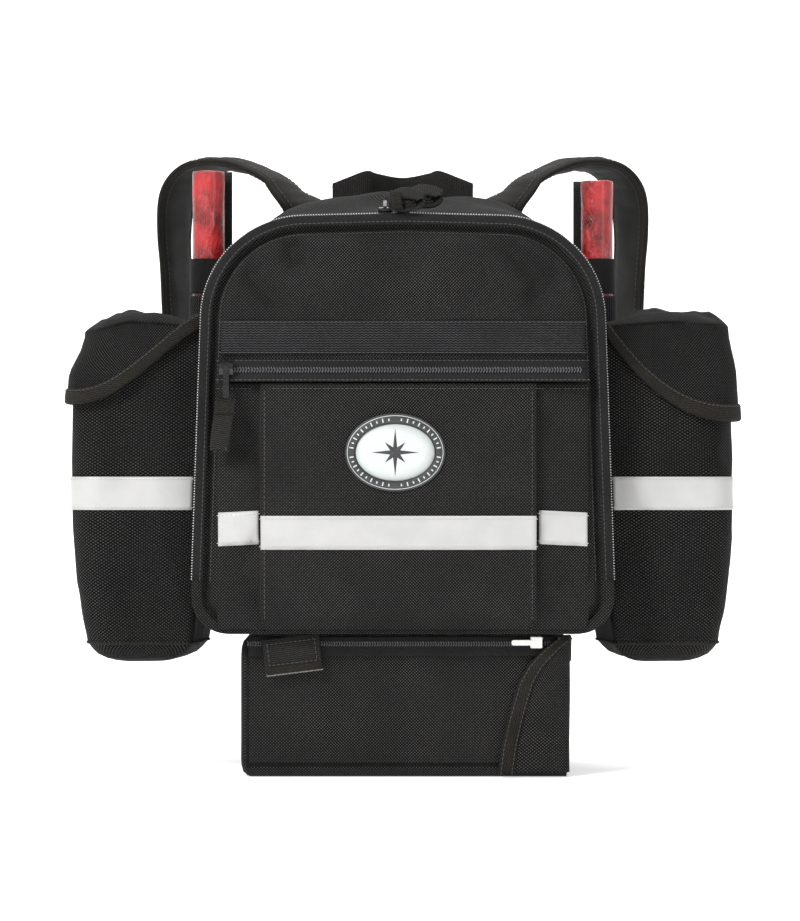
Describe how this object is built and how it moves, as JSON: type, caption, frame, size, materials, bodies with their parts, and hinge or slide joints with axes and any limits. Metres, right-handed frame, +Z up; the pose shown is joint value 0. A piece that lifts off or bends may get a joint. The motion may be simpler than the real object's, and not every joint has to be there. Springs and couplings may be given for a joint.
{
  "type": "backpack",
  "caption": "Black clamshell backpack with bellows front pocket, side bottle pouches, flare sleeves, shelter pouch below, reflective bands, shoulder straps and folding hip belt.",
  "frame": {"origin": "centre of the shelter pouch's flat underside, on which the pack stands", "axes": "+X to the right as the pack's front is viewed, +Y from the front towards the wearer, +Z up"},
  "size_m": [0.5116, 0.312, 0.4871],
  "materials": {
    "ballistic_nylon": "coarse basket weave, matt",
    "pack_cloth": "plain weave, matt",
    "webbing": "woven nylon, slight sheen",
    "binding": "woven tape, matt",
    "spacer_mesh": "open mesh, matt",
    "reflective_tape": "pale grey retroreflective tape, satin",
    "badge_rubber": "moulded soft rubber, matt, pale grey with a dark rim",
    "zip_tape": "woven tape with a nylon coil",
    "black_metal": "black enamel, semi-gloss",
    "bright_metal": "bright nickel plate",
    "acetal": "moulded, fine satin",
    "frame_plastic": "sheet, matt",
    "flare_paper": "waxed red paper tube, satin"
  },
  "bodies": {
    "pack": {"main_shell": "pack_cloth", "zip_tape_shell": "zip_tape", "frame_sheet": "frame_plastic", "back_pad": "spacer_mesh", "lumbar_pad": "spacer_mesh", "yoke_webbing": "webbing", "pouch_left": "ballistic_nylon", "pouch_right": "ballistic_nylon", "pouch_tape_left": "reflective_tape", "pouch_tape_right": "reflective_tape", "flare_sleeve_left": "webbing", "flare_sleeve_right": "webbing", "flare_elastic_left": "binding", "flare_elastic_right": "binding", "shelter_pouch": "ballistic_nylon", "bottom_zip_tape": "zip_tape"},
    "lid": {"front_panel": "ballistic_nylon", "zip_tape_lid": "zip_tape", "pocket_panel": "ballistic_nylon", "pocket_zip_tape": "zip_tape", "loop_strip": "webbing", "badge": "badge_rubber", "pocket_tape_centre": "reflective_tape", "pocket_tape_left": "reflective_tape", "pocket_tape_right": "reflective_tape"},
    "pocket_slider": {"pocket_zip_slider": "black_metal"},
    "pocket_pull": {"pocket_zip_pull": "black_metal", "pocket_pull_tab": "webbing"},
    "main_slider_left": {"main_zip_slider_left": "black_metal"},
    "main_slider_right": {"main_zip_slider_right": "black_metal"},
    "main_pull_left": {"main_zip_bail_left": "black_metal", "main_pull_tab_left": "webbing"},
    "main_pull_right": {"main_zip_bail_right": "black_metal", "main_pull_tab_right": "webbing"},
    "bottom_slider": {"bottom_zip_slider": "bright_metal", "bottom_zip_pull": "bright_metal"},
    "flap_left": {"pouch_flap_left": "ballistic_nylon"},
    "flap_right": {"pouch_flap_right": "ballistic_nylon"},
    "flare_left": {"flare_left": "flare_paper"},
    "flare_right": {"flare_right": "flare_paper"},
    "shelter_flap": {"shelter_flap": "ballistic_nylon"},
    "shelter_tab": {"shelter_tab": "webbing"},
    "haul_handle": {"haul_handle": "webbing"},
    "strap_left": {"shoulder_strap_left": "pack_cloth", "ladder_lock_left": "acetal", "strap_webbing_left": "webbing"},
    "strap_right": {"shoulder_strap_right": "pack_cloth", "ladder_lock_right": "acetal", "strap_webbing_right": "webbing"},
    "sternum_left": {"sternum_webbing_left": "webbing", "sternum_buckle_female": "acetal"},
    "sternum_right": {"sternum_webbing_right": "webbing", "sternum_buckle_male": "acetal"},
    "belt_left": {"belt_wing_left": "pack_cloth", "belt_webbing_left": "webbing"},
    "belt_right": {"belt_wing_right": "pack_cloth", "belt_webbing_right": "webbing", "belt_buckle_female": "acetal"},
    "belt_tongue": {"belt_buckle_male": "acetal"}
  },
  "joints": [
    {"name": "lid_hinge", "type": "hinge", "parent": "pack", "child": "lid", "pos_m": [0, -0.0808, 0.109], "axis": [1, 0, 0], "range_deg": [0, 75]},
    {"name": "pocket_zip", "type": "slide", "parent": "lid", "child": "pocket_slider", "axis": [1, 0, 0], "range_m": [0, 0.262]},
    {"name": "pocket_pull_swing", "type": "hinge", "parent": "pocket_slider", "child": "pocket_pull", "pos_m": [-0.132, -0.1079, 0.3096], "axis": [-1, 0, 0], "range_deg": [0, 110]},
    {"name": "main_zip_left", "type": "slide", "parent": "pack", "child": "main_slider_left", "axis": [-1, 0, 0], "range_m": [0, 0.055]},
    {"name": "main_zip_right", "type": "slide", "parent": "pack", "child": "main_slider_right", "axis": [1, 0, 0], "range_m": [0, 0.055]},
    {"name": "main_pull_swing_left", "type": "hinge", "parent": "main_slider_left", "child": "main_pull_left", "pos_m": [-0.0135, -0.0913, 0.4324], "axis": [0, -1, 0], "range_deg": [0, 170]},
    {"name": "main_pull_swing_right", "type": "hinge", "parent": "main_slider_right", "child": "main_pull_right", "pos_m": [0, -0.0699, 0.4364], "axis": [0, -1, 0], "range_deg": [0, 170]},
    {"name": "bottom_zip", "type": "slide", "parent": "pack", "child": "bottom_slider", "axis": [-1, 0, 0], "range_m": [0, 0.14]},
    {"name": "flap_swing_left", "type": "hinge", "parent": "pack", "child": "flap_left", "pos_m": [-0.1376, 0, 0.3425], "axis": [0.1587, 0.9873, 0], "range_deg": [0, 80]},
    {"name": "flap_swing_right", "type": "hinge", "parent": "pack", "child": "flap_right", "pos_m": [0.1376, 0, 0.3425], "axis": [0.1587, -0.9873, 0], "range_deg": [0, 80]},
    {"name": "flare_draw_left", "type": "slide", "parent": "pack", "child": "flare_left", "axis": [0, 0, 1], "range_m": [0, 0.26]},
    {"name": "flare_draw_right", "type": "slide", "parent": "pack", "child": "flare_right", "axis": [0, 0, 1], "range_m": [0, 0.26]},
    {"name": "shelter_flap_swing", "type": "hinge", "parent": "pack", "child": "shelter_flap", "pos_m": [0.1274, 0, 0.004], "axis": [0, 1, 0], "range_deg": [0, 90]},
    {"name": "shelter_tab_swing", "type": "hinge", "parent": "pack", "child": "shelter_tab", "pos_m": [-0.085, -0.079, 0.106], "axis": [-1, 0, 0], "range_deg": [0, 30]},
    {"name": "haul_handle_swing", "type": "hinge", "parent": "pack", "child": "haul_handle", "pos_m": [0, 0.085, 0.4335], "axis": [1, 0, 0], "range_deg": [-45, 0]},
    {"name": "strap_swing_left", "type": "hinge", "parent": "pack", "child": "strap_left", "pos_m": [-0.086, 0.0905, 0.437], "axis": [0.1674, 0.0124, 0.9858], "range_deg": [-8, 0]},
    {"name": "strap_swing_right", "type": "hinge", "parent": "pack", "child": "strap_right", "pos_m": [0.086, 0.0905, 0.437], "axis": [-0.1674, 0.0124, 0.9858], "range_deg": [0, 8]},
    {"name": "sternum_swing_left", "type": "hinge", "parent": "strap_left", "child": "sternum_left", "pos_m": [-0.168, 0.1956, 0.331], "axis": [1, 0, 0], "range_deg": [0, 60]},
    {"name": "sternum_swing_right", "type": "hinge", "parent": "strap_right", "child": "sternum_right", "pos_m": [0.168, 0.1956, 0.331], "axis": [1, 0, 0], "range_deg": [0, 60]},
    {"name": "belt_fold_left", "type": "hinge", "parent": "pack", "child": "belt_left", "pos_m": [-0.118, 0.1045, 0.17], "axis": [0, 0, 1], "range_deg": [0, 75]},
    {"name": "belt_fold_right", "type": "hinge", "parent": "pack", "child": "belt_right", "pos_m": [0.118, 0.1045, 0.17], "axis": [0, 0, -1], "range_deg": [0, 75]},
    {"name": "belt_buckle", "type": "slide", "parent": "belt_left", "child": "belt_tongue", "axis": [1, 0, 0], "range_m": [0, 0.02]}
  ]
}
